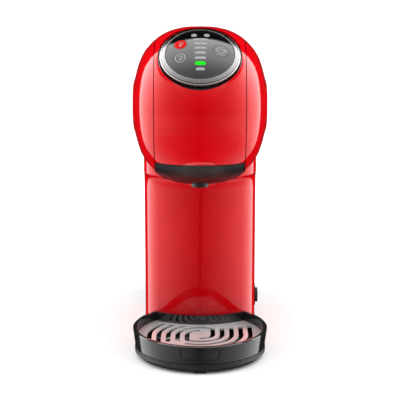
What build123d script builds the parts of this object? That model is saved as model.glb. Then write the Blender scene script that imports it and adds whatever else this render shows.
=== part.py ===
"""Pod coffee machine, built as separate pieces.

Frame: millimetres, +Z up, +X to the machine's right, -Y towards the user.
The origin is the centre of the bounding box on the surface that the machine stands on.
"""
from build123d import *
from math import cos, pi, radians, sin, sqrt
import os

# ---------------------------------------------------------------- driving dimensions
WIDTH = 112.5                    # drip tray rim, the widest piece
DEPTH = 288.0                    # tray front to tank rear
TRAY_R = WIDTH / 2
FRONT_Y = -DEPTH / 2
REAR_Y = DEPTH / 2
SPOUT_Y = FRONT_Y + TRAY_R       # vertical axis of cup, spout and tray
WALL = 2.4                       # moulded shell thickness

# head: a drum about a cross axis, running back as a crowned, falling capsule
HEAD_Y = SPOUT_Y + 18.0
HEAD_Z = 207.5
HEAD_R = 64.6
HEAD_HALF = 55.0
HEAD_POWER = 2.5                 # exponent of the superelliptic crown
HEAD_REAR_HALF = 49.5
HEAD_FALL = 14.0                 # slope of the top towards the rear, degrees
BODY_REAR = 50.0
SEAM_X = 36.5                    # joint between lid and side panels
SEAM_GAP = 0.6
LID_X = SEAM_X - SEAM_GAP / 2
PANEL_X = SEAM_X + SEAM_GAP / 2
LID_Z = 166.3                    # lower edge of the lid
HOLDER_TOP = LID_Z - 0.6

# column
COLUMN_HALF = 48.4
COLUMN_ARC = 60.0
COLUMN_FRONT = SPOUT_Y + 30.7
COLUMN_CORNER = 30.0
FLARE_R = 14.0
FLARE_TOP = 150.0
BASE_TOP = 8.0

# lid hinge and injector drive
HINGE_Y = -6.0
HINGE_Z = 240.0
HINGE_PIN_R = 2.5
HINGE_SWEEP_R = 20.0
LID_OPEN = 55.0
INJECTOR_LIFT = 8.0
CAM_PIN_Y = -26.0                # from the lid hinge
CAM_PIN_Z = -12.0
CAM_PIN_R = 2.0
CAM_SLOT_R = CAM_PIN_R + 0.3
CAM_Y = HINGE_Y + CAM_PIN_Y
BREW_X = 30.0
BREW_TOP = 243.0
INJECTOR_Z = 170.0
RISER_R = 3.0
RISER_TOP = 218.0
HOSE_R = 3.0
PISTON_R = 6.0
HOLDER_REAR = -42.0
HOLDER_LEVEL = -68.0             # behind this the holder's underside runs level, to slide out
POD_Y = SPOUT_Y + 9.0            # axis of pod, injector and outlet
POD_R = 26.0
POD_FLOOR_R = 19.0
POD_FLOOR = 151.0
POD_SKIN = 1.2
RAIL_Z = (159.5, 162.5)
OUTLET_R = 6.0

# dial on the lid
DIAL_TILT = 51.5                 # elevation of the dial's normal
DIAL_REACH = 58.2                # from the head's axis to the dial's top plane
DIAL_R = 32.3
DIAL_INNER_R = 27.6
DIAL_DEPTH = 9.0
GLASS_R = 27.3
GLASS_DOME_R = 86.0
SEAT_R = 33.4
SEAT_SHIFT = 2.2                 # the seat is longer towards the front
GLASS_CROWN = 4.0
GLASS_THICK = 8.9
KEY_GAP = 0.25
KEYS = {
    "temperature_key": (-15.5, 8.9, 5.4),    # place on the dial's plane, and radius
    "boost_key": (-15.5, -6.4, 5.0),
    "brew_key": (16.6, 1.2, 6.4),
}

# drip tray and grid
TRAY_BOTTOM = 8.3
TRAY_RIM = 23.6
TRAY_TAPER = 2.0
TRAY_REAR_R = 64.7
TRAY_WALL = 2.8
TRAY_STEP = 5.2
TRAY_EDGE = 0.5
GRID_Z = 14.3
GRID_THICK = 1.6
SLOT_W = 4.0
SLOT_PITCH = 7.9
SLOT_REAR = 14.0
POCKET_W = 32.0
POCKET_Z = (12.0, 20.4)
SLOT_RADII = [42.4 - SLOT_PITCH * i for i in range(5)]

# water tank
TANK_HALF = 47.6
TANK_FRONT = BODY_REAR + 3.2
TANK_WALL = 2.2
TANK_BOTTOM = BASE_TOP + 5.8
TANK_CORNER = 26.0
TANK_LID_THICK = 9.0
TANK_LID_EDGE = 1.4
TANK_DROP = 1.0
TANK_HINGE_Y = TANK_FRONT + 4.0
TANK_HINGE_Z = 236.6
TANK_KNUCKLE_R = 3.2
VALVE_Y = 74.0

# base, feet and cord inlet
FOOT_R = 7.0
FOOT_SPOTS = [(-34, -108), (34, -108), (-36, 20), (36, 20), (-30, 118), (30, 118)]
SCREW_SPOTS = [(-40, -24), (40, -24), (-40, 40), (40, 40)]
GLAND_Y = 12.0
GLAND_Z = 22.0
GLAND_R = 6.5

# water path
METER = (-26.0, 27.0)            # axis of the flow meter
METER_Z = 17.0                   # height of its two spigots
PUMP_Z = 48.0


# ---------------------------------------------------------------- helpers
def block(x, y, z):
    """Axis-aligned box from (low, high) pairs."""
    centre = Pos((x[0] + x[1]) / 2, (y[0] + y[1]) / 2, (z[0] + z[1]) / 2)
    return centre * Box(x[1] - x[0], y[1] - y[0], z[1] - z[0])


def rod(start, end, radius):
    """Cylinder between two points."""
    start = Vector(*start)
    run = Vector(*end) - start
    return Part() + Solid.make_cylinder(radius, run.length, Plane(start, z_dir=run))


def pair(part):
    """A piece and its mirror image across the middle plane."""
    return part + part.mirror(Plane.YZ)


def save(part, node):
    """Write one sub-part, one or more separate solids."""
    solids = part.solids()
    body = solids[0] if len(solids) == 1 else Compound(children=list(solids))
    export_step(body, os.path.join("parts", node + ".step"))


def dial_frame(depth):
    """Plane of the dial, a depth below its top, with local y pointing up the slope."""
    tilt = radians(DIAL_TILT)
    reach = DIAL_REACH - depth
    origin = (0, HEAD_Y - reach * cos(tilt), HEAD_Z + reach * sin(tilt))
    return Plane(origin, x_dir=(1, 0, 0), z_dir=(0, -cos(tilt), sin(tilt)))


def dial_disc(radius, top, bottom, x=0.0, y=0.0):
    """Disc about the dial's axis between two depths."""
    plane = dial_frame(bottom)
    return plane * Pos(x, y, (bottom - top) / 2) * Cylinder(radius, bottom - top)


# ---------------------------------------------------------------- outer forms
def crown(radius, half):
    """Half outline of the head across its width, pole to pole, at a radius of the crown."""
    steps = 12
    points = []
    for i in range(steps + 1):
        turn = pi * i / steps - pi / 2
        side = 1 if turn > 0 else -1
        x = side * half * abs(sin(turn)) ** (2 / HEAD_POWER)
        points.append((x, radius * abs(cos(turn)) ** (2 / HEAD_POWER)))
    return Spline(*points, tangents=[(0, 1), (0, -1)])


def head_section(inset, run):
    """Plane across the head, a run behind its axis, and the half width there."""
    fall = radians(HEAD_FALL)
    origin = (0, HEAD_Y + run * cos(fall), HEAD_Z - run * sin(fall))
    plane = Plane(origin, x_dir=(1, 0, 0), z_dir=(0, -cos(fall), sin(fall)))
    part_way = min(run / 120.0, 1.0)
    blend = part_way ** 2 * (3 - 2 * part_way)
    half = HEAD_HALF + (HEAD_REAR_HALF - HEAD_HALF) * blend - inset
    return plane, half


def head_form(inset=0.0):
    """Solid of the head: half a drum in front, a capsule running back behind it."""
    radius = HEAD_R - inset
    plane, half = head_section(inset, 0)
    upper = crown(radius, half)
    profile = make_face(upper + Line((half, 0), (-half, 0)))
    drum = revolve(plane * profile, Axis((0, HEAD_Y, HEAD_Z), (1, 0, 0)), 180)
    sections = []
    for run in (0, 45, 90, 135):
        plane, half = head_section(inset, run)
        upper = crown(radius, half)
        sections.append(plane * make_face(upper + upper.mirror(Plane.XZ)))
    capsule = loft(sections)
    behind = block((-80, 80), (BODY_REAR, 120), (0, 300))
    belly = block((-80, 80), (-160, HOLDER_REAR + 1), (60, HEAD_Z - HEAD_R + inset))
    return drum + capsule - behind - belly


def column_plan(inset=0.0, reach=0.0):
    """Plan of the column: a convex front, rounded corners and straight sides."""
    half = COLUMN_HALF - inset
    front = COLUMN_FRONT + inset - reach
    radius = COLUMN_ARC - inset
    side_y = front + radius - sqrt(radius ** 2 - half ** 2)
    arc = ThreePointArc((-half, side_y), (0, front), (half, side_y))
    sides = Polyline((half, side_y), (half, BODY_REAR), (-half, BODY_REAR), (-half, side_y))
    face = make_face(arc + sides)
    corners = [v for v in face.vertices() if v.Y < side_y + 1]
    return fillet(corners, COLUMN_CORNER - inset)


def column_form(inset, bottom):
    """Solid of the column, with its front flaring forward to the head."""
    flare_z = FLARE_TOP - FLARE_R - 4
    shaft = Pos(0, 0, bottom) * extrude(column_plan(inset), flare_z - bottom)
    sections = []
    for i in range(7):
        rise = FLARE_R * i / 6 * 0.96
        reach = FLARE_R - sqrt(FLARE_R ** 2 - rise ** 2)
        sections.append(Pos(0, 0, flare_z + rise) * column_plan(inset, reach))
    flare = loft(sections)
    top = FLARE_R - sqrt(FLARE_R ** 2 - (FLARE_R * 0.96) ** 2)
    above = Pos(0, 0, flare_z + FLARE_R * 0.96) * extrude(column_plan(inset, top), 80)
    return shaft + flare + above


def tray_plan(inset=0.0, rear=0.5):
    """Plan of the drip tray about the spout axis, hugging the column behind."""
    radius = TRAY_R - inset
    side = TRAY_REAR_R - inset
    side_x = TRAY_R - TRAY_REAR_R
    front = Circle(radius) & Pos(0, -100) * Rectangle(200, 200)
    lens = Pos(side_x, 0) * Circle(side) & Pos(-side_x, 0) * Circle(side)
    back = lens & Pos(0, 40) * Rectangle(200, 80)
    hug = Pos(0, COLUMN_FRONT - SPOUT_Y + COLUMN_ARC) * Circle(COLUMN_ARC + rear + inset)
    return Pos(0, SPOUT_Y) * (front + back - hug)


def tank_plan(inset=0.0):
    """Plan of the water tank: flat in front, rounded behind."""
    half = TANK_HALF - inset
    front = TANK_FRONT + inset
    rear = REAR_Y - inset
    arc = ThreePointArc((-half, rear - 14), (0, rear), (half, rear - 14))
    sides = Polyline((half, rear - 14), (half, front), (-half, front), (-half, rear - 14))
    face = make_face(arc + sides)
    back = [v for v in face.vertices() if v.Y > front + 1]
    face = fillet(back, TANK_CORNER - inset)
    front_corners = [v for v in face.vertices() if v.Y < front + 1]
    return fillet(front_corners, 6 - inset)


def under_top(drop, y=(40, 160)):
    """Everything below the machine's top line, dropped by a distance, over a span of y."""
    fall = radians(HEAD_FALL)
    plane, _ = head_section(0, 120)
    top = plane * Pos(0, HEAD_R - drop - 200, 0) * Box(200, 400, 600)
    return top & block((-100, 100), y, (0, 320))


HEAD = head_form()
HEAD_CLEAR = head_form(-0.4)
HEAD_INNER = head_form(WALL)
COLUMN = column_form(0, BASE_TOP)


def hinge_rod(radius, x=(-40, 40)):
    return rod((x[0], HINGE_Y, HINGE_Z), (x[1], HINGE_Y, HINGE_Z), radius)


def dial_seat_hole(radius, top, bottom):
    """Opening for the dial, a little longer towards the front."""
    shifted = dial_disc(radius, top, bottom, y=-SEAT_SHIFT)
    plane = dial_frame(bottom)
    middle = plane * Pos(0, -SEAT_SHIFT / 2, (bottom - top) / 2)
    return dial_disc(radius, top, bottom) + shifted + middle * Box(
        2 * radius, SEAT_SHIFT, bottom - top)


# ---------------------------------------------------------------- base
def make_base_plate():
    outline = tray_plan(1.5) + Pos(0, (REAR_Y - 4 + SPOUT_Y + 20) / 2) * Rectangle(
        2 * COLUMN_HALF - 3, REAR_Y - 4 - SPOUT_Y - 20)
    rear = [v for v in outline.vertices() if v.Y > REAR_Y - 10]
    outline = fillet(rear, TANK_CORNER)
    plate = Pos(0, 0, 1.2) * extrude(outline, BASE_TOP - 1.2)
    lower = plate.edges().group_by(Axis.Z)[0]
    plate = chamfer(lower, 3.2)
    for x, y in FOOT_SPOTS:
        plate -= Pos(x, y, 1.2) * Cylinder(FOOT_R + 0.05, 3.6)
    for x, y in SCREW_SPOTS:
        plate -= Pos(x, y, 4) * Cylinder(1.6, 20)
        plate -= Pos(x, y, 1.2) * Cylinder(3.2, 5)
    plate += Pos(0, FRONT_Y + 6.3, 1.5) * Box(9.5, 5, 3)
    return plate


def make_feet():
    feet = Part()
    for x, y in FOOT_SPOTS:
        foot = Pos(x, y, 1.5) * Cylinder(FOOT_R, 3)
        feet += chamfer(foot.edges().group_by(Axis.Z)[0], 0.6)
    return feet


def make_screws():
    screws = Part()
    for x, y in SCREW_SPOTS:
        screw = Pos(x, y, 2.7) * Cylinder(3.0, 2) + Pos(x, y, 8.5) * Cylinder(1.5, 10)
        screw -= Pos(x, y, 2) * Box(4.2, 0.8, 1.2) + Pos(x, y, 2) * Box(0.8, 4.2, 1.2)
        screws += screw
    return screws


# ---------------------------------------------------------------- outer casing
def make_column_cover():
    shell = COLUMN - column_form(WALL, BASE_TOP - 1) - HEAD_CLEAR
    shell -= block((-60, 60), (BODY_REAR - 0.4, 80), (0, 260))
    groove = block((-0.4, 0.4), (COLUMN_FRONT - 2, COLUMN_FRONT + 0.5), (BASE_TOP, 128))
    shell -= groove
    shell -= gland_rod(COLUMN_HALF - 6, COLUMN_HALF + 6, GLAND_R + 0.02)
    for x, y in SCREW_SPOTS:
        side = 1 if x > 0 else -1
        boss = Pos(x, y, BASE_TOP + 6) * Cylinder(4, 12)
        web = block(sorted((x, side * (COLUMN_HALF - 1))), (y - 1, y + 1),
                    (BASE_TOP, BASE_TOP + 12))
        shell += boss + web - Pos(x, y, BASE_TOP) * Cylinder(1.5, 11)
    return largest(shell)


def largest(part):
    """Keep the biggest solid of a piece."""
    return Part() + max(part.solids(), key=lambda s: s.volume)


def make_right_head_panel():
    half_space = block((PANEL_X, 80), (-150, BODY_REAR - 0.4), (60, 300))
    inside = block((PANEL_X + 2, 80), (-150, BODY_REAR + 1), (60, 300))
    panel = (HEAD & half_space) - (HEAD_INNER & inside)
    panel -= block((PANEL_X - 1, PANEL_X + 3), (-40, 30), (182, 214))
    panel -= hinge_rod(HINGE_PIN_R + 0.02)
    return panel


def make_left_head_panel():
    return make_right_head_panel().mirror(Plane.YZ)


def make_top_rear_cover():
    shell = HEAD - HEAD_INNER
    shell &= block((-LID_X, LID_X), (HINGE_Y, BODY_REAR - 0.4), (205, 300))
    shell -= hinge_rod(HINGE_SWEEP_R + 0.5)
    trough = hinge_rod(HINGE_SWEEP_R + 2.5, (-LID_X, LID_X)) - hinge_rod(HINGE_SWEEP_R + 0.5)
    trough &= block((-LID_X, LID_X), (HINGE_Y + 4, 40), (HINGE_Z - 14, 300)) & HEAD
    return largest(shell + trough)


def make_rear_panel():
    outline = (column_form(0.5, BASE_TOP + 0.3) + head_form(0.5))
    slab = outline & block((-60, 60), (BODY_REAR - 2.4, BODY_REAR - 0.4), (0, 300))
    panel = Pos(0, 2.4, 0) * slab
    for z in range(40, 110, 8):
        panel -= block((-22, 22), (BODY_REAR - 2, BODY_REAR + 4), (z, z + 2.5))
    return panel


# ---------------------------------------------------------------- lid with dial
def lid_region(side_x, bottom):
    """Space that the lid may fill: in front of its hinge, and a barrel about the hinge."""
    front = block((-side_x, side_x), (-160, HINGE_Y), (bottom, 300))
    barrel = hinge_rod(HINGE_SWEEP_R - 0.2, (-side_x, side_x))
    return front + barrel


def make_lid_cover():
    shell = (HEAD - HEAD_INNER) & lid_region(LID_X, LID_Z)
    shell -= dial_seat_hole(SEAT_R, -12, 20)
    return largest(shell - hinge_rod(HINGE_PIN_R + 0.1))


def head_band(inset, thick, half_x, runs):
    """Skin that follows the head's crown between two flat sides."""
    sections = []
    for run in runs:
        plane, half = head_section(inset, run)
        upper = crown(HEAD_R - inset, half)
        lower = crown(HEAD_R - inset - thick, half - thick)
        band = make_face(upper + Line((half, 0), (-half, 0)))
        band -= make_face(lower + Line((half - thick, 0), (thick - half, 0)))
        band &= Pos(0, 50) * Rectangle(2 * half_x, 98)
        sections.append(plane * band)
    drum = revolve(sections[0], Axis((0, HEAD_Y, HEAD_Z), (1, 0, 0)), 180)
    return drum + loft(sections)


def make_lid_liner():
    cheek_in = LID_X - 2.8
    cheek_out = LID_X - 0.6
    skin = head_band(WALL + 0.05, 2.0, cheek_in + 1, (0, 30, 60, 90))
    skin &= lid_region(cheek_in + 1, LID_Z + 3)
    cheek = head_form(WALL + 0.3) & lid_region(cheek_out, LID_Z + 3)
    cheek &= block((cheek_in, cheek_out), (-160, 60), (100, 300))
    liner = skin + pair(cheek)
    liner -= dial_seat_hole(SEAT_R, -12, 22)
    liner -= hinge_rod(HINGE_PIN_R + 0.05)
    liner -= cam_slots()
    return largest(liner)


def cam_point(part_way):
    """Place of the injector's pins in the lid's own frame, part of the way to fully open."""
    turn = radians(LID_OPEN) * part_way
    z = CAM_PIN_Z + INJECTOR_LIFT * part_way
    return (HINGE_Y + CAM_PIN_Y * cos(turn) - z * sin(turn),
            HINGE_Z + CAM_PIN_Y * sin(turn) + z * cos(turn))


def cam_slots():
    """Slots for the injector's pins through both sides of the lid's liner."""
    path = ThreePointArc(cam_point(0), cam_point(0.5), cam_point(1))
    slot = extrude(Plane.YZ.offset(30) * SlotArc(path, 2 * CAM_SLOT_R), 10)
    return pair(slot)


def make_hinge_pin():
    pin = hinge_rod(HINGE_PIN_R, (-38.6, 38.6))
    ends = pin.edges().filter_by(GeomType.CIRCLE)
    return chamfer(ends, 0.4)


def make_dial_seat():
    cup = dial_seat_hole(SEAT_R - 0.05, 5, 20) - dial_disc(DIAL_R + 0.35, 4, DIAL_DEPTH + 0.6)
    cup -= dial_disc(SEAT_R - 2.2, 4, 18.5)
    return cup - dial_disc(20, 18, 21)


def make_display_carrier():
    """Sleeve on the seat's floor that holds the board and carries the glass."""
    under_glass = GLASS_THICK - GLASS_CROWN
    sleeve = dial_disc(27.0, under_glass, 18.5) - dial_disc(25.0, 0, 20)
    ledge = dial_disc(25.2, 12.2, 14) - dial_disc(22.5, 12, 15)
    return sleeve + ledge


def make_dial_ring():
    """Turned ring: a bevel falling outwards from the glass, and a wall inside the seat."""
    outline = Polyline(
        (DIAL_INNER_R, -0.3), (DIAL_INNER_R + 0.4, 0), (DIAL_R - 1.1, -1.2),
        (DIAL_R - 1.0, -1.9), (DIAL_R, -2.2), (DIAL_R, -DIAL_DEPTH),
        (DIAL_R - 3.2, -DIAL_DEPTH), (DIAL_R - 3.2, -4.2), (DIAL_INNER_R, -4.2),
        (DIAL_INNER_R, -0.3))
    ring = revolve(Plane.XZ * make_face(outline), Axis.Z)
    return dial_frame(0) * ring


def dome(radius, crown_z, thick, sphere):
    """Domed disc whose crown stands at a height, cut from a sphere."""
    ball = Pos(0, 0, crown_z - sphere) * Sphere(sphere)
    return (Pos(0, 0, crown_z - thick - 6) * Cylinder(radius, 2 * thick + 12)) & ball & (
        Pos(0, 0, crown_z + 10 - thick) * Box(100, 100, 20))


def make_display_glass():
    glass = dial_frame(0) * dome(GLASS_R, GLASS_CROWN, GLASS_THICK, GLASS_DOME_R)
    for x, y, radius in KEYS.values():
        glass -= dial_disc(radius + KEY_GAP, -8, 30, x, y)
    return glass


def make_key(name):
    x, y, radius = KEYS[name]
    cap = dome(GLASS_R, GLASS_CROWN - 0.05, GLASS_THICK, GLASS_DOME_R)
    cap = dial_frame(0) * (cap & Pos(x, y, 0) * Cylinder(radius, 30))
    return cap + dial_disc(1.6, 4.8, 8.6, x, y)


def make_display_board():
    board = dial_disc(24.9, 10.6, 12.2)
    for x, y, radius in KEYS.values():
        board += dial_disc(2.6, 9.9, 10.7, x, y)
    for i in range(7):
        board += dial_frame(10.1) * Pos(0, 15 - 5.2 * i, 0) * Box(5, 2, 1.2)
    return board


def make_light_guide():
    guide = dial_frame(8.1) * Pos(0, -0.6, 0) * Box(17, 38, 5)
    for i in range(7):
        guide -= dial_frame(10) * Pos(0, 15 - 5.2 * i, 0) * Box(6, 3, 2.4)
    return guide


# ---------------------------------------------------------------- brewing head
def make_brew_frame():
    inside = block((-BREW_X, BREW_X), (-126, -22), (168.2, BREW_TOP))
    below_dial = dial_frame(23) * Pos(0, 0, -100) * Box(300, 300, 200)
    outer = head_form(9) & inside & below_dial
    cavity = head_form(11.5) & block((-BREW_X + 2.5, BREW_X - 2.5), (-126, -24.5),
                                     (160, BREW_TOP - 2.5))
    cavity &= dial_frame(25.5) * Pos(0, 0, -100) * Box(300, 300, 200)
    frame = outer - cavity
    for side in (-1, 1):
        low = HINGE_Z + CAM_PIN_Z
        frame -= block(sorted((side * 20, side * 40)),
                       (CAM_Y - CAM_PIN_R - 0.3, CAM_Y + CAM_PIN_R + 0.3),
                       (low - CAM_PIN_R - 0.6, low + INJECTOR_LIFT + CAM_PIN_R + 0.6))
    frame -= block((-12, 12), (-30, -20), (204, 232))
    return largest(frame)


def make_frame_brackets():
    """Arms that tie the brewing frame to the rear panel, above the thermoblock."""
    arm = block((14, 18), (-22, BODY_REAR), (206, 226))
    arm &= under_top(14, (-40, 80))
    foot = block((14, 26), (BODY_REAR - 2, BODY_REAR), (206, 220))
    return pair(arm + foot)


def make_holder_rails():
    rail = block((33.4, PANEL_X), (-96, -45), RAIL_Z)
    return pair(rail & head_form(1.2))


def pod_cone(skin, low):
    """Tapered space of the pod, widened by a skin, from a height up to the holder's top."""
    slope = (POD_R - POD_FLOOR_R) / (HOLDER_TOP - POD_FLOOR)
    foot = POD_FLOOR_R + skin + slope * (low - POD_FLOOR)
    height = HOLDER_TOP - low
    return Pos(0, POD_Y, low + height / 2) * Cone(foot, POD_R + skin, height)


def make_pod_holder():
    outline = block((-LID_X, LID_X), (-160, HOLDER_LEVEL), (100, HOLDER_TOP))
    holder = HEAD & outline
    end = holder.faces().sort_by(Axis.Y)[-1]
    holder += extrude(end, HOLDER_REAR - HOLDER_LEVEL, dir=(0, 1, 0))
    holder -= pod_cone(POD_SKIN, POD_FLOOR - POD_SKIN)
    holder -= Pos(0, POD_Y, 150) * Cylinder(OUTLET_R + POD_SKIN, 30)
    groove = block((33.0, 40), (-97, 0), (RAIL_Z[0] - 0.4, RAIL_Z[1] + 0.4))
    holder -= pair(groove)
    return largest(holder)


def make_pod_cup():
    """Cup that the pod drops into, with piercing points and a spout at its centre."""
    cup = pod_cone(POD_SKIN, POD_FLOOR - POD_SKIN)
    spout_low = HEAD_Z - HEAD_R - 1.5
    spout_height = POD_FLOOR - spout_low
    cup += Pos(0, POD_Y, spout_low + spout_height / 2) * Cylinder(OUTLET_R + POD_SKIN,
                                                                  spout_height)
    cup -= pod_cone(0, POD_FLOOR)
    cup -= Pos(0, POD_Y, POD_FLOOR - 10) * Cylinder(OUTLET_R, 30)
    for i in range(6):
        point = Pos(OUTLET_R + 5, 0, POD_FLOOR + 1) * Cone(1.6, 0.3, 2.2)
        cup += Pos(0, POD_Y, 0) * Rot(0, 0, 60 * i) * point
    return cup


def make_injector_head():
    z = INJECTOR_Z
    head = Pos(0, POD_Y, z + 3) * Cylinder(24, 6)
    head += Pos(0, POD_Y, z + 14) * Cylinder(8, 18)
    head -= Pos(0, POD_Y, z + 14) * Cylinder(RISER_R + 0.06, 20)
    side_arm = block((15, 19), (POD_Y - 5, CAM_Y + 4), (z + 14, z + 22))
    side_arm += block((15, 19), (CAM_Y - 4, CAM_Y + 4), (z + 14, HINGE_Z + CAM_PIN_Z + 4))
    arms = pair(side_arm)
    arms += block((-19, 19), (POD_Y - 5, POD_Y + 5), (z + 14, z + 22))
    arms -= Pos(0, POD_Y, z + 14) * Cylinder(RISER_R + 0.06, 20)
    pins = pair(rod((18, CAM_Y, HINGE_Z + CAM_PIN_Z), (35.4, CAM_Y, HINGE_Z + CAM_PIN_Z),
                    CAM_PIN_R))
    return head + arms + pins


def make_pod_seal():
    ring = Pos(0, POD_Y, INJECTOR_Z - 1.1) * Cylinder(23, 2.2)
    return ring - Pos(0, POD_Y, INJECTOR_Z - 1.1) * Cylinder(19, 4)


def make_needle():
    needle = Pos(0, POD_Y, INJECTOR_Z - 1.0) * Cylinder(1.4, 2.0)
    needle += Pos(0, POD_Y, INJECTOR_Z - 2.5) * Rot(180, 0, 0) * Cone(1.4, 0.4, 1.0)
    return needle


def make_riser_pipe():
    path = FilletPolyline((0, POD_Y, INJECTOR_Z + 15), (0, POD_Y, RISER_TOP),
                          (0, 6, RISER_TOP), (0, 6, 199.3), radius=8)
    return tube_along(path, RISER_R, 1.4)


def tube_along(path, radius, bore):
    """Pipe swept along a path of straight runs and arcs."""
    section = path ^ 0
    outer = sweep(section * Circle(radius), path)
    return outer - sweep(section * Circle(bore), path)


# ---------------------------------------------------------------- water path
def make_thermoblock():
    block_body = block((-29, 29), (-14, 34), (158, 196))
    block_body = fillet(block_body.edges().filter_by(Axis.Z), 9)
    for i in range(4):
        z = 162 + 8.5 * i
        ring = block((-31, 31), (-16, 36), (z, z + 3))
        block_body += fillet(ring.edges().filter_by(Axis.Z), 10)
    block_body += Pos(0, 6, 197.5) * Cylinder(6, 4)
    block_body -= Pos(0, 6, 192) * Cylinder(RISER_R + 0.03, 20)
    block_body += Pos(-18, 26, 154) * Cylinder(5, 10)
    block_body -= Pos(-18, 26, 152) * Cylinder(HOSE_R + 0.03, 9)
    return block_body


def make_thermostats():
    caps = Part()
    for x in (-14, 14):
        caps += Pos(x, 22, 198) * Cylinder(7, 4) + Pos(x, 22, 201) * Cylinder(4, 3)
    return caps


def make_block_posts():
    """Heat-proof posts from the rear panel to the thermoblock."""
    posts = Part()
    for x in (-20, 20):
        for z in (168, 186):
            posts += rod((x, 36, z), (x, BODY_REAR, z), 4)
    return posts


def make_pump_body():
    y = -4
    coil = block((-22, 22), (y - 22, y + 22), (26, 70))
    coil = fillet(coil.edges().filter_by(Axis.Y), 5)
    nose = rod((0, y + 22, 48), (0, y + 40, 48), 10)
    neck = rod((0, y - 34, 48), (0, y - 22, 48), 12)
    hollow = rod((0, y - 34.5, 48), (0, y + 10, 48), PISTON_R + 0.05)
    port = rod((0, y + 9, 48), (0, y + 36, 48), 2)
    elbow = rod((0, y + 36, 48), (0, y + 36, 62), 5)
    elbow -= rod((0, y + 36, 50), (0, y + 36, 63), HOSE_R + 0.03)
    inlet = rod((0, y - 30, 48), (0, y - 30, 33), 5)
    inlet -= rod((0, y - 30, 48), (0, y - 30, 32), HOSE_R + 0.03)
    body = coil + nose + neck + elbow + inlet - hollow - port
    return body - rod((0, y + 36, 49.9), (0, y + 36, 63), HOSE_R + 0.03)


def make_pump_piston():
    piston = rod((0, -24, 48), (0, -2, 48), PISTON_R)
    return piston - rod((0, -25, 48), (0, -1, 48), 1.4)


def helix_spring(start, height, radius, wire, turns):
    """Compression spring about +Z at a start point."""
    path = Helix(height / turns, height, radius)
    coil = sweep(Plane(path @ 0, z_dir=path % 0) * Circle(wire), path)
    return Pos(*start) * coil


def make_pump_spring():
    coil = helix_spring((0, 0, 0), 6.0, 4.6, 0.5, 4)
    return Pos(0, 0, 48) * Rot(-90, 0, 0) * Pos(0, 0, -1.4) * coil


def make_pump_mounts():
    mounts = Part()
    for y in (-20, 12):
        pad = block((-18, 18), (y - 5, y + 5), (BASE_TOP, 26))
        pad -= block((-12, 12), (y - 6, y + 6), (BASE_TOP + 4, 22))
        mounts += pad
    return mounts


def make_flow_meter():
    x, y = METER
    body = Pos(x, y, 19) * Cylinder(12, 12)
    body += Pos(x, y, 27) * Cylinder(9, 5)
    body += Pos(x, y, 10.5) * Cylinder(6, 5)
    body += rod((x, y, METER_Z), (x, y + 17, METER_Z), 4.2)
    body += rod((x, y, METER_Z), (x + 16, y, METER_Z), 4.2)
    body -= rod((x, y + 11, METER_Z), (x, y + 22, METER_Z), HOSE_R + 0.03)
    return body - rod((x + 11, y, METER_Z), (x + 17, y, METER_Z), HOSE_R + 0.03)


def make_suction_hose():
    x, y = METER
    path = FilletPolyline((x + 11, y, METER_Z), (0, y, METER_Z), (0, -34, METER_Z),
                          (0, -34, PUMP_Z - 12.1), radius=7)
    return tube_along(path, HOSE_R, 1.8)


def make_pressure_hose():
    path = FilletPolyline((0, 32, 50), (0, 32, 92), (-18, 26, 118), (-18, 26, 156), radius=12)
    return tube_along(path, HOSE_R, 1.5)


# ---------------------------------------------------------------- electrics
def make_control_board():
    return block((40.2, 41.8), (-30, 40), (30, 108))


def make_board_parts():
    """Relay, capacitor, transformer and plug sockets on the control board."""
    parts = block((24, 40.2), (-22, -2), (76, 98))
    parts += block((28, 40.2), (8, 26), (84, 100))
    parts += rod((26, 14, 68), (40.2, 14, 68), 6)
    parts += rod((30, -14, 62), (40.2, -14, 62), 4)
    for i in range(3):
        parts += block((33, 40.2), (-24 + 14 * i, -14 + 14 * i), (34, 42))
    return parts


def make_board_posts():
    posts = Part()
    for y in (-16, 34):
        for z in (36, 102):
            posts += rod((41.8, y, z), (COLUMN_HALF - WALL, y, z), 3)
    return posts


def gland_rod(low, high, radius):
    return rod((low, GLAND_Y, GLAND_Z), (high, GLAND_Y, GLAND_Z), radius)


def make_cord_gland():
    """Flanged bush in the column's side that the mains lead passes through."""
    side = COLUMN_HALF
    gland = gland_rod(side - 6, side + 4, GLAND_R) + gland_rod(side, side + 1.8, GLAND_R + 3)
    gland += gland_rod(side - 5, side - WALL, GLAND_R + 2)
    return gland - gland_rod(side - 8, side + 6, 3.6)


# ---------------------------------------------------------------- tank
def tank_space(inset, low):
    form = Pos(0, 0, low) * extrude(tank_plan(inset), 260 - low)
    return form & under_top(TANK_DROP + TANK_LID_THICK)


def tank_hinge_rod(radius, x):
    return rod((x[0], TANK_HINGE_Y, TANK_HINGE_Z), (x[1], TANK_HINGE_Y, TANK_HINGE_Z), radius)


def make_water_tank():
    shell = tank_space(0, TANK_BOTTOM) - tank_space(TANK_WALL, TANK_BOTTOM + 3)
    shell += Pos(0, VALVE_Y, TANK_BOTTOM + 4) * Cylinder(9, 8)
    shell -= Pos(0, VALVE_Y, TANK_BOTTOM + 7) * Cylinder(7, 9)
    shell -= Pos(0, VALVE_Y, TANK_BOTTOM) * Cylinder(3.2, 10)
    shell -= tank_hinge_rod(TANK_KNUCKLE_R + 0.4, (-TANK_HALF, TANK_HALF))
    ears = tank_hinge_rod(TANK_KNUCKLE_R, (33, 37))
    ears += block((33, 37), (TANK_FRONT, TANK_HINGE_Y + TANK_KNUCKLE_R),
                  (TANK_HINGE_Z - 12, TANK_HINGE_Z))
    return shell + pair(ears) - tank_hinge_rod(1.52, (-40, 40))


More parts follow.
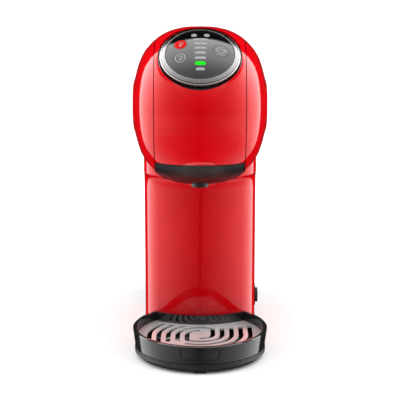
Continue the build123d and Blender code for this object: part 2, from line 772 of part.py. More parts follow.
def make_tank_lid():
    lid = tank_top(TANK_DROP)
    lid = chamfer(lid.faces().sort_by(Axis.Z)[-1].edges(), TANK_LID_EDGE)
    lid -= tank_top(TANK_DROP + TANK_LID_THICK - 0.4)
    lid -= tank_top(TANK_DROP + 2.4, 2.4)
    lid -= block((-60, 60), (40, TANK_HINGE_Y), (150, 260))
    knuckle = tank_hinge_rod(TANK_KNUCKLE_R, (-32.5, 32.5))
    web = block((-32.5, 32.5), (TANK_HINGE_Y, TANK_HINGE_Y + 5), (TANK_HINGE_Z - 1, 260))
    lid += knuckle + (web & tank_top(TANK_DROP))
    clear = tank_hinge_rod(TANK_KNUCKLE_R + 0.4, (32.5, 37.5))
    clear += block((32.5, 37.5), (40, TANK_HINGE_Y + TANK_KNUCKLE_R + 0.4), (200, TANK_HINGE_Z))
    lid -= pair(clear)
    tab = block((-14, 14), (REAR_Y - 8, REAR_Y - 0.2), (200, 260))
    return lid - tank_hinge_rod(1.56, (-40, 40)) + (tab & tank_top(TANK_DROP, 0.2) - tank_top(
        TANK_DROP + 5.5))


def make_tank_lid_pin():
    return tank_hinge_rod(1.5, (-37, 37))


def tank_top(drop, inset=0.0):
    form = Pos(0, 0, 150) * extrude(tank_plan(inset), 140)
    return form & under_top(drop)


def make_tank_valve():
    stem = Pos(0, VALVE_Y, TANK_BOTTOM + 5.6) * Cylinder(5.6, 1.6)
    stem += Pos(0, VALVE_Y, TANK_BOTTOM + 2.5) * Cylinder(2.6, 7)
    return stem


def make_tank_dock():
    seat = Pos(0, 0, BASE_TOP) * extrude(tank_plan(1.5), 5.5)
    seat = seat - block((-60, 60), (REAR_Y - 8, REAR_Y + 5), (0, 40))
    seat -= Pos(0, VALVE_Y, BASE_TOP + 6) * Cylinder(8, 8)
    seat -= rod((0, VALVE_Y, BASE_TOP + 3.2), (0, 40, BASE_TOP + 3.2), 1.4)
    return seat


# ---------------------------------------------------------------- tray
def tray_body(inset_low, inset_top, low, high):
    """Tapered solid of the tray between two heights."""
    bottom = Pos(0, 0, low) * tray_plan(inset_low)
    top = Pos(0, 0, high) * tray_plan(inset_top)
    return loft([bottom, top])


def make_drip_tray():
    tray = tray_body(TRAY_TAPER, 0, TRAY_BOTTOM, TRAY_RIM - TRAY_EDGE)
    tray += tray_body(0, TRAY_EDGE, TRAY_RIM - TRAY_EDGE, TRAY_RIM)
    tray -= Pos(0, 0, GRID_Z) * extrude(tray_plan(TRAY_WALL), 30)
    tray -= Pos(0, 0, TRAY_BOTTOM + 1.6) * extrude(tray_plan(TRAY_STEP), 30)
    pocket = block((-POCKET_W / 2, POCKET_W / 2), (FRONT_Y - 5, FRONT_Y + 20), POCKET_Z)
    lower = pocket.edges().filter_by(Axis.Y).group_by(Axis.Z)[0]
    pocket = fillet(lower, 4)
    pocket -= Pos(0, SPOUT_Y, 16) * Cylinder(TRAY_R - 2.0, 40)
    return tray - pocket


def grid_slots():
    """Half of the swirl: nested slots, straight on the right and curling round the front."""
    slots = Sketch()
    for radius in SLOT_RADII:
        outer = radius + SLOT_W / 2
        end = -12.5 if radius > 15 else 0
        front = Pos(end + 50, -50) * Rectangle(100, 100)
        arc = (Circle(outer) - Circle(outer - SLOT_W)) & front
        rear = SLOT_REAR + 0.3 * (radius - SLOT_RADII[-1])
        slots += arc + Pos(radius, rear / 2) * Rectangle(SLOT_W, rear)
    return slots


def make_drip_grid():
    plan = tray_plan(TRAY_WALL + 0.4)
    swirl = grid_slots() + Rot(0, 0, 180) * grid_slots()
    rim = tray_plan(TRAY_WALL + 5.0)
    plan -= Pos(0, SPOUT_Y) * swirl & rim
    return Pos(0, 0, GRID_Z + 0.1) * extrude(plan, GRID_THICK)


# ---------------------------------------------------------------- output
os.makedirs("parts", exist_ok=True)
PIECES = {
    "base_plate": make_base_plate,
    "rubber_feet": make_feet,
    "base_screws": make_screws,
    "column_cover": make_column_cover,
    "right_head_panel": make_right_head_panel,
    "left_head_panel": make_left_head_panel,
    "top_rear_cover": make_top_rear_cover,
    "rear_panel": make_rear_panel,
    "lid_cover": make_lid_cover,
    "lid_liner": make_lid_liner,
    "lid_hinge_pin": make_hinge_pin,
    "dial_seat": make_dial_seat,
    "display_carrier": make_display_carrier,
    "dial_ring": make_dial_ring,
    "display_glass": make_display_glass,
    "display_board": make_display_board,
    "light_guide": make_light_guide,
    "brew_frame": make_brew_frame,
    "frame_brackets": make_frame_brackets,
    "holder_rails": make_holder_rails,
    "pod_holder": make_pod_holder,
    "pod_cup": make_pod_cup,
    "injector_head": make_injector_head,
    "pod_seal": make_pod_seal,
    "injector_needle": make_needle,
    "riser_pipe": make_riser_pipe,
    "thermoblock": make_thermoblock,
    "thermostats": make_thermostats,
    "block_posts": make_block_posts,
    "pump_body": make_pump_body,
    "pump_piston": make_pump_piston,
    "pump_spring": make_pump_spring,
    "pump_mounts": make_pump_mounts,
    "flow_meter": make_flow_meter,
    "suction_hose": make_suction_hose,
    "pressure_hose": make_pressure_hose,
    "control_board": make_control_board,
    "board_parts": make_board_parts,
    "board_posts": make_board_posts,
    "cord_gland": make_cord_gland,
    "water_tank": make_water_tank,
    "tank_lid": make_tank_lid,
    "tank_lid_pin": make_tank_lid_pin,
    "tank_valve": make_tank_valve,
    "tank_dock": make_tank_dock,
    "drip_tray": make_drip_tray,
    "drip_grid": make_drip_grid,
}
for node, make in PIECES.items():
    save(make(), node)
for key in KEYS:
    save(make_key(key), key)
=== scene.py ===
"""Looks for the pod coffee machine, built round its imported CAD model. Metres, +Z up."""
from math import cos, pi, radians, sin, sqrt

import bmesh
import bpy
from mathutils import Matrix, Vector


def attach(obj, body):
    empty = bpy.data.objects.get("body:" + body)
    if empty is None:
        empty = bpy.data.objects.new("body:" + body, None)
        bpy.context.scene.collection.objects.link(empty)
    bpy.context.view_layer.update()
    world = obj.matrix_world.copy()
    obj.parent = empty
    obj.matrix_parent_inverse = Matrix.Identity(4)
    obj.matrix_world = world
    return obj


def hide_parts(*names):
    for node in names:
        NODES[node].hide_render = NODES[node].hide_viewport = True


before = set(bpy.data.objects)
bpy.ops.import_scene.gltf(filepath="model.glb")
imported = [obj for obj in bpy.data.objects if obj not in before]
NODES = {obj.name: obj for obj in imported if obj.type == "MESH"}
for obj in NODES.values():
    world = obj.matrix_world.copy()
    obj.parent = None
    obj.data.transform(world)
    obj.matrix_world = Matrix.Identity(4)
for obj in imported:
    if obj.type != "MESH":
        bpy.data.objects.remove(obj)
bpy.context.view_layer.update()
MM = 0.001


# ---------------------------------------------------------------- materials
BLOTCH_SCALE = 60.0             # broad unevenness of colour
WEAR_SCALE = 240.0              # finer unevenness of gloss
GLOW_SCALE = 300.0
GLOW_DIM = 0.94                 # the darker tone of a lamp or of ink with a painted glow, against its full colour
GLOW_BASE = (0.01, 0.01, 0.01, 1)
GLOW_ROUGH = 0.03


def new_material(name):
    """A material with its shader, and a noise-ready object coordinate."""
    material = bpy.data.materials.new(name)
    material.use_nodes = True
    tree = material.node_tree
    shader = tree.nodes["Principled BSDF"]
    place = tree.nodes.new("ShaderNodeTexCoord")
    return material, tree, shader, place.outputs["Object"]


def stretched(tree, place, scale):
    """The object coordinate, scaled by axis, so that grain can run one way."""
    mapping = tree.nodes.new("ShaderNodeMapping")
    mapping.inputs["Scale"].default_value = scale
    tree.links.new(place, mapping.inputs["Vector"])
    return mapping.outputs["Vector"]


def noise(tree, place, scale, detail=3.0):
    texture = tree.nodes.new("ShaderNodeTexNoise")
    texture.inputs["Scale"].default_value = scale
    texture.inputs["Detail"].default_value = detail
    tree.links.new(place, texture.inputs["Vector"])
    return texture.outputs["Fac"]


def spread(tree, factor, low, high):
    """A factor's middle range mapped to a span of values."""
    node = tree.nodes.new("ShaderNodeMapRange")
    node.inputs["From Min"].default_value = 0.3
    node.inputs["From Max"].default_value = 0.7
    node.inputs["To Min"].default_value = low
    node.inputs["To Max"].default_value = high
    tree.links.new(factor, node.inputs["Value"])
    return node.outputs["Result"]


def two_tone(tree, factor, first, second):
    ramp = tree.nodes.new("ShaderNodeValToRGB")
    ramp.color_ramp.elements[0].position = 0.35
    ramp.color_ramp.elements[0].color = (*first, 1)
    ramp.color_ramp.elements[1].position = 0.65
    ramp.color_ramp.elements[1].color = (*second, 1)
    tree.links.new(factor, ramp.inputs["Fac"])
    return ramp.outputs["Color"]


def bump(tree, shader, height, distance, strength):
    node = tree.nodes.new("ShaderNodeBump")
    node.inputs["Distance"].default_value = distance
    node.inputs["Strength"].default_value = strength
    tree.links.new(height, node.inputs["Height"])
    tree.links.new(node.outputs["Normal"], shader.inputs["Normal"])


def moulded(name, colours, rough, grain=900.0, depth=0.00004, strength=0.2, axis=(1, 1, 1),
            **sockets):
    """Moulded, cast or drawn stock: slightly uneven colour and gloss, and a fine grain."""
    material, tree, shader, place = new_material(name)
    vector = stretched(tree, place, axis)
    blotches = noise(tree, vector, BLOTCH_SCALE)
    tree.links.new(two_tone(tree, blotches, *colours), shader.inputs["Base Color"])
    wear = noise(tree, vector, WEAR_SCALE)
    tree.links.new(spread(tree, wear, *rough), shader.inputs["Roughness"])
    bump(tree, shader, noise(tree, vector, grain, 2.0), depth, strength)
    for socket, value in sockets.items():
        shader.inputs[socket.replace("_", " ")].default_value = value
    return material


def lit(name, colour, strength, gloss=0.5):
    """A lamp behind the glass, or ink with a painted glow; either glows a little unevenly."""
    material, tree, shader, place = new_material(name)
    dimmer = tuple(GLOW_DIM * c for c in colour)
    glow = two_tone(tree, noise(tree, place, GLOW_SCALE), dimmer, colour)
    tree.links.new(glow, shader.inputs["Emission Color"])
    shader.inputs["Emission Strength"].default_value = strength
    shader.inputs["Base Color"].default_value = GLOW_BASE
    shader.inputs["Roughness"].default_value = GLOW_ROUGH
    shader.inputs["Specular IOR Level"].default_value = gloss
    return material


MATERIALS = {
    "red_gloss": moulded(
        "red_gloss", ((0.530, 0.0005, 0.0032), (0.560, 0.0008, 0.0040)), (0.035, 0.055),
        grain=420.0, depth=0.00002, strength=0.05, IOR=1.5),
    "black_gloss": moulded(
        "black_gloss", ((0.006, 0.006, 0.0065), (0.009, 0.009, 0.010)), (0.05, 0.09),
        grain=500.0, depth=0.00002, strength=0.08, IOR=1.5),
    # The drip tray's black, a shade lighter than black_gloss: painted reflection of the pale floor,
    # which glossy rays don't see.
    "tray_gloss_painted_reflection": moulded(
        "tray_gloss_painted_reflection", ((0.010, 0.010, 0.0105), (0.014, 0.014, 0.015)), (0.05, 0.09),
        grain=500.0, depth=0.00002, strength=0.08, Specular_IOR_Level=0.85),
    "holder_satin": moulded(
        "holder_satin", ((0.006, 0.006, 0.0065), (0.009, 0.009, 0.010)), (0.32, 0.42),
        grain=1200.0, depth=0.00004, strength=0.25),
    "black_matte": moulded(
        "black_matte", ((0.010, 0.010, 0.011), (0.017, 0.017, 0.018)), (0.42, 0.58),
        grain=1500.0, depth=0.00005, strength=0.35),
    "grey_plastic": moulded(
        "grey_plastic", ((0.16, 0.165, 0.17), (0.20, 0.205, 0.21)), (0.35, 0.5),
        grain=1300.0, depth=0.00005, strength=0.25),
    "display_black": moulded(
        "display_black", ((0.0015, 0.0015, 0.0018), (0.0025, 0.0025, 0.003)), (0.015, 0.03),
        grain=300.0, depth=0.00001, strength=0.03, IOR=1.52),
    "ring_metal": moulded(
        "ring_metal", ((0.185, 0.182, 0.178), (0.215, 0.212, 0.208)), (0.12, 0.18),
        grain=2200.0, depth=0.00002, strength=0.2, Metallic=1.0),
    "polished_steel": moulded(
        "polished_steel", ((0.70, 0.68, 0.68), (0.78, 0.76, 0.76)), (0.10, 0.16),
        grain=900.0, depth=0.00002, strength=0.12, axis=(1, 0.08, 1), Metallic=0.5),
    "steel": moulded(
        "steel", ((0.50, 0.50, 0.50), (0.60, 0.60, 0.60)), (0.2, 0.32),
        grain=2000.0, depth=0.00003, strength=0.25, Metallic=1.0),
    "cast_alloy": moulded(
        "cast_alloy", ((0.34, 0.34, 0.345), (0.46, 0.46, 0.465)), (0.42, 0.6),
        grain=700.0, depth=0.00012, strength=0.6, Metallic=1.0),
    "rubber": moulded(
        "rubber", ((0.012, 0.012, 0.012), (0.02, 0.02, 0.02)), (0.7, 0.85),
        grain=1800.0, depth=0.00006, strength=0.4),
    "silicone": moulded(
        "silicone", ((0.42, 0.40, 0.37), (0.52, 0.50, 0.47)), (0.3, 0.45),
        grain=1400.0, depth=0.00005, strength=0.2),
    "circuit": moulded(
        "circuit", ((0.01, 0.09, 0.03), (0.015, 0.13, 0.05)), (0.35, 0.5),
        grain=1100.0, depth=0.00006, strength=0.4),
    "tank_clear": moulded(
        "tank_clear", ((0.50, 0.52, 0.55), (0.54, 0.56, 0.59)), (0.03, 0.07),
        grain=300.0, depth=0.00002, strength=0.05, Transmission_Weight=1.0, IOR=1.45),
}
for node in NODES.values():
    for index, held in enumerate(node.data.materials):
        node.data.materials[index] = MATERIALS[held.name.split(".")[0]]

# The drip tray takes its lighter black, a painted reflection of the floor; the pod parts take the
# holder's satin black.
LOOKS_AND_PAINTED_REFLECTION = {"pod_holder": "holder_satin", "pod_cup": "holder_satin", "drip_tray": "tray_gloss_painted_reflection"}
for name, look in LOOKS_AND_PAINTED_REFLECTION.items():
    NODES[name].data.materials[0] = MATERIALS[look]

# The white and grey ink is print, not a lamp: its glow is painted light. The green and red lamps
# glow for real.
WHITE_INK_PAINTED_GLOW = lit("display_white_painted_glow", (0.72, 0.73, 0.74), 0.50)
GREEN_LAMP = lit("display_green", (0.0, 1.0, 0.0), 1.0, gloss=0.0)
GREY_INK_PAINTED_GLOW = lit("display_grey_painted_glow", (0.62, 0.30, 0.30), 0.6)
RED_LAMP = lit("display_red", (0.9, 0.002, 0.002), 1.0, gloss=0.0)


# ---------------------------------------------------------------- dial frame
# Millimetres and degrees, as in the CAD: the head's cross axis, and the dial's plane above it.
HEAD_Y = -69.75
HEAD_Z = 207.5
DIAL_TILT = 51.5
DIAL_REACH = 58.2


def dial_axes():
    """Centre of the dial on its top plane, its cross axis, its up-slope axis and its normal."""
    tilt = radians(DIAL_TILT)
    reach = DIAL_REACH * MM
    centre = Vector((0, HEAD_Y * MM - reach * cos(tilt), HEAD_Z * MM + reach * sin(tilt)))
    across = Vector((1, 0, 0))
    return centre, across, Vector((0, sin(tilt), cos(tilt))), Vector((0, -cos(tilt), sin(tilt)))


DIAL_CENTRE, DIAL_ACROSS, DIAL_UP, DIAL_OUT = dial_axes()
DOME_R = 86.0
DOME_CROWN = 4.0
PRINT_LIFT = 0.02               # print stands this far off the glass
PRINT_THICK = 0.02
HUB = 0.02                      # a filled shape closes to this share of its outline


def on_dial(x, y, height):
    """A point in the dial's frame, in millimetres, as a place in the row frame."""
    return DIAL_CENTRE + MM * (x * DIAL_ACROSS + y * DIAL_UP + height * DIAL_OUT)


def on_dome(x, y, lift=PRINT_LIFT):
    return on_dial(x, y, DOME_CROWN - DOME_R + sqrt(DOME_R ** 2 - x * x - y * y) + lift)


def piece(name, mesh, material, body):
    """Finish a bmesh as a named piece that rides on a body."""
    data = bpy.data.meshes.new(name)
    mesh.to_mesh(data)
    mesh.free()
    for polygon in data.polygons:
        polygon.use_smooth = True
    data.materials.append(material)
    made = bpy.data.objects.new(name, data)
    bpy.context.scene.collection.objects.link(made)
    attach(made, body)
    return made


def printed(name, loops, material, body, lift=PRINT_LIFT):
    """Print on the dome, from pairs of an outer outline and an inner one, or None if filled."""
    mesh = bmesh.new()
    for outer, inner in loops:
        count = len(outer)
        if inner is None:
            cx = sum(p[0] for p in outer) / count
            cy = sum(p[1] for p in outer) / count
            inner = [(cx + HUB * (x - cx), cy + HUB * (y - cy)) for x, y in outer]
        rings = []
        for part_way in (0, 0.5, 1):
            line = [(a[0] + (b[0] - a[0]) * part_way, a[1] + (b[1] - a[1]) * part_way)
                    for a, b in zip(outer, inner)]
            rings.append([mesh.verts.new(on_dome(x, y, lift)) for x, y in line])
        low = [[mesh.verts.new(on_dome(x, y, lift - PRINT_THICK)) for x, y in edge]
               for edge in (outer, inner)]
        for a, b in ((rings[0], rings[1]), (rings[1], rings[2]), (low[0], rings[0]),
                     (rings[2], low[1]), (low[1], low[0])):
            for i in range(count):
                j = (i + 1) % count
                mesh.faces.new((a[i], a[j], b[j], b[i]))
    bmesh.ops.recalc_face_normals(mesh, faces=mesh.faces)
    return piece(name, mesh, material, body)


def pill(x, y, width, height, bow=0.0, steps=8):
    """Outline of a round-ended bar, bowed up in the middle."""
    radius = height / 2
    points = []
    for side, start in ((1, -pi / 2), (-1, pi / 2)):
        for i in range(steps + 1):
            turn = start + pi * i / steps
            px = side * (width / 2 - radius) + radius * cos(turn)
            points.append((x + px, y + radius * sin(turn)))
        if side == 1:
            points += [(x + (width / 2 - radius) * t, y + radius) for t in (0.5, 0, -0.5)]
        else:
            points += [(x + (width / 2 - radius) * t, y - radius) for t in (-0.5, 0, 0.5)]
    return [(px, py + bow * (1 - ((px - x) / (width / 2)) ** 2)) for px, py in points]


def oval(x, y, half_x, half_y, steps=32):
    turns = [2 * pi * i / steps for i in range(steps)]
    return [(x + half_x * cos(turn), y + half_y * sin(turn)) for turn in turns]


def stroke(points, width):
    """Both edges of a line of even width along points."""
    left, right = [], []
    for i, (x, y) in enumerate(points):
        x0, y0 = points[max(i - 1, 0)]
        x1, y1 = points[min(i + 1, len(points) - 1)]
        length = sqrt((x1 - x0) ** 2 + (y1 - y0) ** 2)
        nx, ny = -(y1 - y0) / length * width / 2, (x1 - x0) / length * width / 2
        left.append((x + nx, y + ny))
        right.append((x - nx, y - ny))
    return left, right


def drawn(name, lines, material, body):
    """Lines printed on the dome, each given as its two edges."""
    mesh = bmesh.new()
    for edges in lines:
        top, low = ([[mesh.verts.new(on_dome(x, y, lift)) for x, y in edge] for edge in edges]
                    for lift in (PRINT_LIFT, PRINT_LIFT - PRINT_THICK))
        walls = ((top[0], top[1]), (low[1], low[0]), (low[0], top[0]), (top[1], low[1]))
        for i in range(len(top[0]) - 1):
            for a, b in walls:
                mesh.faces.new((a[i], a[i + 1], b[i + 1], b[i]))
        for i in (0, -1):
            mesh.faces.new((top[0][i], top[1][i], low[1][i], low[0][i]))
    bmesh.ops.recalc_face_normals(mesh, faces=mesh.faces)
    return piece(name, mesh, material, body)


# ---------------------------------------------------------------- display
# Dial millimetres: x to the right, y up the slope.
MIDDLE = 0.3                    # the bars' centre line
BAR_TOP = 13.95
BAR_PITCH = 5.43
BAR_WIDTHS = (11.7, 10.7, 9.9, 9.1, 8.6, 8.5, 6.9)
BAR_HEIGHT = 2.5
LIT_HEIGHT = 3.4
BAR_BOW = 0.25
LIT_BAR = 5
POD_MARK_X, POD_MARK_Y, POD_MARK_R = 5.1, 20.0, 2.3
GLYPH_LIFT = 0.05               # the thermometer stands on top of its disc
THIN, FINE, THICK = 0.6, 0.7, 0.8   # widths of line

for i, width in enumerate(BAR_WIDTHS):
    lit_bar = i == LIT_BAR
    outline = pill(MIDDLE, BAR_TOP - BAR_PITCH * i, width,
                   LIT_HEIGHT if lit_bar else BAR_HEIGHT, bow=BAR_BOW)
    ink = GREEN_LAMP if lit_bar else WHITE_INK_PAINTED_GLOW
    printed(f"volume_bar_{i + 1}", [(outline, None)], ink, "lid")
for name, side in (("pod_mark_left", -1), ("pod_mark_right", 1)):
    mark = oval(MIDDLE + POD_MARK_X * side, POD_MARK_Y, POD_MARK_R, POD_MARK_R)
    printed(name, [(mark, None)], WHITE_INK_PAINTED_GLOW, "lid")

x, y = -15.5, 8.9               # the temperature key
printed("temperature_disc", [(oval(x, y, 4.9, 5.3), None)], RED_LAMP, "temperature_button")
thermometer = [oval(x, y - 1.8, 1.1, 1.1), pill(x, y + 0.9, 0.9, 4.0),
               pill(x + 1.9, y + 1.6, 1.5, 0.6), pill(x + 1.9, y + 0.2, 1.5, 0.6)]
printed("temperature_glyph", [(outline, None) for outline in thermometer],
        GREY_INK_PAINTED_GLOW, "temperature_button", lift=GLYPH_LIFT)

x, y = -15.5, -6.4              # the boost key
printed("boost_ring", [(oval(x, y, 4.4, 4.8), oval(x, y, 3.7, 4.1))], WHITE_INK_PAINTED_GLOW, "boost_button")
hook = [(x - 1.7, y + 1.5), (x + 0.2, y + 2.2), (x + 1.5, y + 0.9), (x + 1.2, y - 0.8),
        (x - 0.4, y - 1.6)]
barb = [(x + 0.8, y - 2.8), (x - 0.6, y - 1.6), (x + 0.6, y - 0.2)]
drawn("boost_glyph", [stroke(hook, THICK), stroke(barb, FINE)], WHITE_INK_PAINTED_GLOW, "boost_button")

x, y = 16.6, 1.2                # the brew key
cup_outside = [(x - 4.0, y + 2.2), (x - 3.9, y + 0.8), (x - 3.3, y - 1.0), (x - 2.2, y - 2.4),
               (x - 1.0, y - 3.0), (x + 0.6, y - 3.0), (x + 1.8, y - 2.4), (x + 2.8, y - 1.0),
               (x + 3.3, y + 0.8), (x + 3.4, y + 2.2)]
cup_inside = [(x - 3.2, y + 1.5), (x - 3.1, y + 0.6), (x - 2.6, y - 0.8), (x - 1.8, y - 1.8),
              (x - 0.8, y - 2.3), (x + 0.4, y - 2.3), (x + 1.4, y - 1.8), (x + 2.1, y - 0.8),
              (x + 2.5, y + 0.6), (x + 2.6, y + 1.5)]
handle = [(x + 3.2, y + 1.5), (x + 4.6, y + 1.4), (x + 5.0, y + 0.3), (x + 4.3, y - 0.8),
          (x + 2.8, y - 1.1)]
saucer = [(x - 3.6, y - 4.2), (x - 0.3, y - 4.4), (x + 3.0, y - 4.2)]
wisps = [[(x + dx, y + 3.2), (x + dx + 0.5, y + 3.9), (x + dx, y + 4.6), (x + dx + 0.4, y + 5.3)]
         for dx in (-1.8, 0.8)]
printed("cup_body", [(cup_outside, cup_inside)], WHITE_INK_PAINTED_GLOW, "brew_button")
drawn("cup_handle", [stroke(handle, FINE)], WHITE_INK_PAINTED_GLOW, "brew_button")
drawn("cup_saucer", [stroke(saucer, FINE)], WHITE_INK_PAINTED_GLOW, "brew_button")
drawn("cup_steam", [stroke(wisp, THIN) for wisp in wisps], WHITE_INK_PAINTED_GLOW, "brew_button")


# ---------------------------------------------------------------- dial ring
# The knurled wall's metal is a lighter copy of the ring's: painted light, as the wall sees mostly
# the dark seat around it.
KNURL_PAINTED_LIGHT = moulded("ring_knurl_painted_light", ((0.52, 0.51, 0.50), (0.60, 0.59, 0.58)), (0.2, 0.3),
                grain=2200.0, depth=0.00002, strength=0.2, Metallic=1.0)

TEETH = 110
STEPS_PER_TOOTH = 6
TOOTH_DEPTH = 0.45
TOOTH_ROUNDING = 1.5            # above one, the notches are narrower than the teeth
WALL_TOP = -2.0                 # below this height the ring is knurled, not polished, and takes a lighter copy of its metal: painted light


def knurled_ring():
    """The turned ring about the dial's axis, from its bevel down its toothed wall and back up."""
    count = TEETH * STEPS_PER_TOOTH
    # Radius and height in millimetres, and how much of a tooth's depth is cut there.
    outline = [(27.65, -0.6, 0), (27.66, -0.25, 0), (27.72, -0.08, 0), (27.82, -0.01, 0),
               (27.95, -0.01, 0), (28.1, -0.06, 0), (29.0, -0.38, 0), (30.3, -0.85, 0),
               (30.95, -1.09, 0), (31.1, -1.16, 0), (31.18, -1.26, 0), (31.2, -1.4, 0),
               (31.2, -1.75, 0), (31.24, -1.88, 0), (31.35, -1.95, 0), (32.0, -2.1, 0.3),
               (32.2, -2.2, 0.8), (32.28, -2.4, 1), (32.28, -4.5, 1), (32.28, -7.5, 1),
               (32.25, -8.7, 1), (32.1, -8.88, 0.7), (31.9, -8.95, 0), (29.3, -8.95, 0),
               (29.2, -8.8, 0), (29.2, -4.4, 0), (29.05, -4.2, 0), (27.8, -4.2, 0),
               (27.65, -4.05, 0)]
    mesh = bmesh.new()
    rings = []
    for radius, height, cut in outline:
        ring = []
        for i in range(count):
            turn = 2 * pi * i / count
            notch = TOOTH_DEPTH * cut * (0.5 - 0.5 * cos(turn * TEETH)) ** TOOTH_ROUNDING
            r = radius - notch
            ring.append(mesh.verts.new(on_dial(r * cos(turn), r * sin(turn), height)))
        rings.append(ring)
    for a, b in zip(rings, rings[1:] + rings[:1]):
        for i in range(count):
            j = (i + 1) % count
            mesh.faces.new((a[i], a[j], b[j], b[i]))
    bmesh.ops.recalc_face_normals(mesh, faces=mesh.faces)
    # Faces below the wall's top take the lighter copy of the metal, painted light on the knurled
    # wall.
    for face in mesh.faces:
        below = (face.calc_center_median() - DIAL_CENTRE).dot(DIAL_OUT)
        face.material_index = 1 if below < WALL_TOP * MM else 0
    made = piece("knurled_ring", mesh, MATERIALS["ring_metal"], "dial")
    made.data.materials.append(KNURL_PAINTED_LIGHT)
    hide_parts("dial_ring")


knurled_ring()

# ---------------------------------------------------------------- stage, light and camera
FLOOR_HALF = 6.0
FILL_POWER = 17.0
FILL_SIZE = (1.0, 1.4)
FILL_PLACE = (2.1, -0.1, 0.6)
FILL_TARGET = (0, -0.05, 0.15)
CAMERA_PLACE = (0, -1.1215, 0.3513)
CAMERA_PITCH = 78.0             # degrees up from straight down
CAMERA_LENS = 115.65
CAMERA_SENSOR = 36.0

floor_mesh = bmesh.new()
bmesh.ops.create_grid(floor_mesh, x_segments=8, y_segments=8, size=FLOOR_HALF)
floor_data = bpy.data.meshes.new("floor")
floor_mesh.to_mesh(floor_data)
floor_mesh.free()
floor = bpy.data.objects.new("floor", floor_data)
bpy.context.scene.collection.objects.link(floor)
floor_data.materials.append(moulded(
    "floor_paper", ((0.76, 0.76, 0.76), (0.78, 0.78, 0.78)), (0.9, 0.95),
    grain=300.0, strength=0.02, Specular_IOR_Level=0.0))
floor.visible_glossy = False


def world_node(tree, kind, inputs=(), **settings):
    """A node with its settings, and its inputs as numbers or as other nodes' outputs."""
    made = tree.nodes.new(kind)
    for key, value in settings.items():
        setattr(made, key, value)
    for index, value in enumerate(inputs):
        if isinstance(value, bpy.types.NodeSocket):
            tree.links.new(value, made.inputs[index])
        elif value is not None:
            made.inputs[index].default_value = value
    return made.outputs[0]


def maths(tree, operation, *inputs):
    return world_node(tree, "ShaderNodeMath", inputs, operation=operation)


def ramp(tree, factor, stops):
    made = tree.nodes.new("ShaderNodeValToRGB")
    elements = made.color_ramp.elements
    while len(elements) < len(stops):
        elements.new(0.5)
    for element, (position, value) in zip(elements, stops):
        element.position = position
        element.color = (value, value, value, 1)
    tree.links.new(factor, made.inputs["Fac"])
    return made.outputs["Color"]


PEAK = 8.0                      # brightness that a ramp's value of one stands for
DIM_ROOM = 0.006                # light from everywhere else


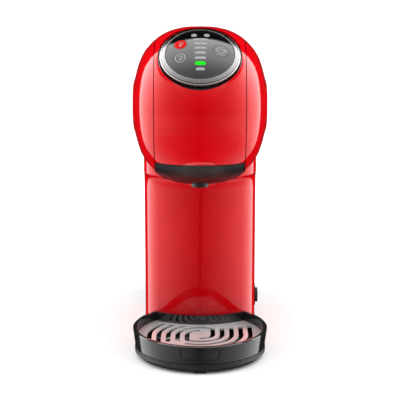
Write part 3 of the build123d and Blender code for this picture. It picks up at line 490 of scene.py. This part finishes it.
def studio():
    """Soft boxes by direction: two tall panels at the sides, one overhead, and a dim rest.

    The ramps were shaped against the reflections in the photograph's front view.
    """
    world = bpy.data.worlds.new("studio")
    bpy.context.scene.world = world
    world.use_nodes = True
    tree = world.node_tree
    tree.nodes.clear()
    direction = tree.nodes.new("ShaderNodeTexCoord").outputs["Generated"]
    split = tree.nodes.new("ShaderNodeSeparateXYZ")
    tree.links.new(direction, split.inputs[0])
    across, ahead, up = split.outputs
    side = maths(tree, "ABSOLUTE", across)
    toward = maths(tree, "MULTIPLY", ahead, -1.0)
    turn = maths(tree, "DIVIDE", maths(tree, "ARCTAN2", side, toward), pi)
    rise = maths(tree, "ADD", maths(tree, "DIVIDE", maths(tree, "ARCSINE", up), pi), 0.5)
    panel = ramp(tree, turn, [(0.0, 0.004), (0.05, 0.016), (0.12, 0.030), (0.19, 0.045),
                              (0.26, 0.070), (0.345, 0.115), (0.44, 0.20), (0.54, 0.33),
                              (0.66, 0.48), (0.725, 0.52), (0.74, 0.0012), (1.0, 0.0010)])
    height = ramp(tree, rise, [(0.0, 0.10), (0.30, 0.28), (0.345, 0.52), (0.39, 0.75), (0.455, 1.0),
                               (0.53, 1.0), (0.64, 1.0), (0.695, 1.0), (0.705, 0.03), (1.0, 0.0)])
    lift = ramp(tree, rise, [(0.0, 0.5), (0.455, 0.5), (0.53, 0.62), (0.64, 0.80), (1.0, 0.9)])
    sides = maths(tree, "MULTIPLY", maths(tree, "MULTIPLY", panel, height), lift)
    sides = maths(tree, "MULTIPLY", sides, 2.0 * PEAK)
    high = maths(tree, "MAXIMUM", up, 0.05)
    lean_x = maths(tree, "DIVIDE", side, high)
    lean_y = maths(tree, "DIVIDE", ahead, high)
    over = ramp(tree, maths(tree, "MULTIPLY_ADD", lean_y, 0.1, 0.5),
                [(0.0, 0.004), (0.24, 0.012), (0.335, 0.036), (0.43, 0.125), (0.47, 0.30),
                 (0.50, 0.62), (0.55, 0.78), (0.556, 0.0)])
    within = ramp(tree, maths(tree, "MULTIPLY", lean_x, 0.5),
                  [(0.0, 1.0), (0.44, 1.0), (0.47, 0.0)])
    above = ramp(tree, up, [(0.10, 0.0), (0.30, 1.0)])
    top = maths(tree, "MULTIPLY", maths(tree, "MULTIPLY", over, within), above)
    top = maths(tree, "MULTIPLY", top, PEAK)
    table = ramp(tree, rise, [(0.0, 0.01), (0.25, 0.02), (0.33, 0.05), (0.42, 0.05), (0.47, 0.0)])
    front_table = ramp(tree, turn, [(0.0, 0.1), (0.3, 1.0), (0.6, 1.0), (0.74, 0.0)])
    below = maths(tree, "MULTIPLY", maths(tree, "MULTIPLY", table, front_table), PEAK)
    light = maths(tree, "ADD", maths(tree, "ADD", sides, top), below)
    light = maths(tree, "ADD", light, DIM_ROOM)
    reflected = tree.nodes.new("ShaderNodeBackground")
    tree.links.new(light, reflected.inputs["Strength"])
    seen = tree.nodes.new("ShaderNodeBackground")
    seen.inputs["Color"].default_value = (1, 1, 1, 1)
    seen.inputs["Strength"].default_value = 1.0
    ray = tree.nodes.new("ShaderNodeLightPath")
    mix = tree.nodes.new("ShaderNodeMixShader")
    tree.links.new(ray.outputs["Is Camera Ray"], mix.inputs[0])
    tree.links.new(reflected.outputs[0], mix.inputs[1])
    tree.links.new(seen.outputs[0], mix.inputs[2])
    output = tree.nodes.new("ShaderNodeOutputWorld")
    tree.links.new(mix.outputs[0], output.inputs["Surface"])


studio()


def soft_box(name, place, target, size, power):
    """Area light that fills the colours and leaves no reflection."""
    lamp = bpy.data.lights.new(name, "AREA")
    lamp.shape = "RECTANGLE"
    lamp.size, lamp.size_y = size
    lamp.energy = power
    made = bpy.data.objects.new(name, lamp)
    made.location = place
    made.rotation_euler = (Vector(target) - Vector(place)).to_track_quat("-Z", "Y").to_euler()
    made.visible_camera = False
    made.visible_glossy = False
    bpy.context.scene.collection.objects.link(made)


for name, side in (("fill_left", -1), ("fill_right", 1)):
    place = (side * FILL_PLACE[0], *FILL_PLACE[1:])
    soft_box(name, place, FILL_TARGET, FILL_SIZE, FILL_POWER)

camera_data = bpy.data.cameras.new("camera")
camera_data.lens = CAMERA_LENS
camera_data.sensor_width = CAMERA_SENSOR
camera = bpy.data.objects.new("camera", camera_data)
camera.location = CAMERA_PLACE
camera.rotation_euler = (radians(CAMERA_PITCH), 0, 0)
bpy.context.scene.collection.objects.link(camera)
bpy.context.scene.camera = camera
bpy.context.scene.view_settings.view_transform = "Standard"
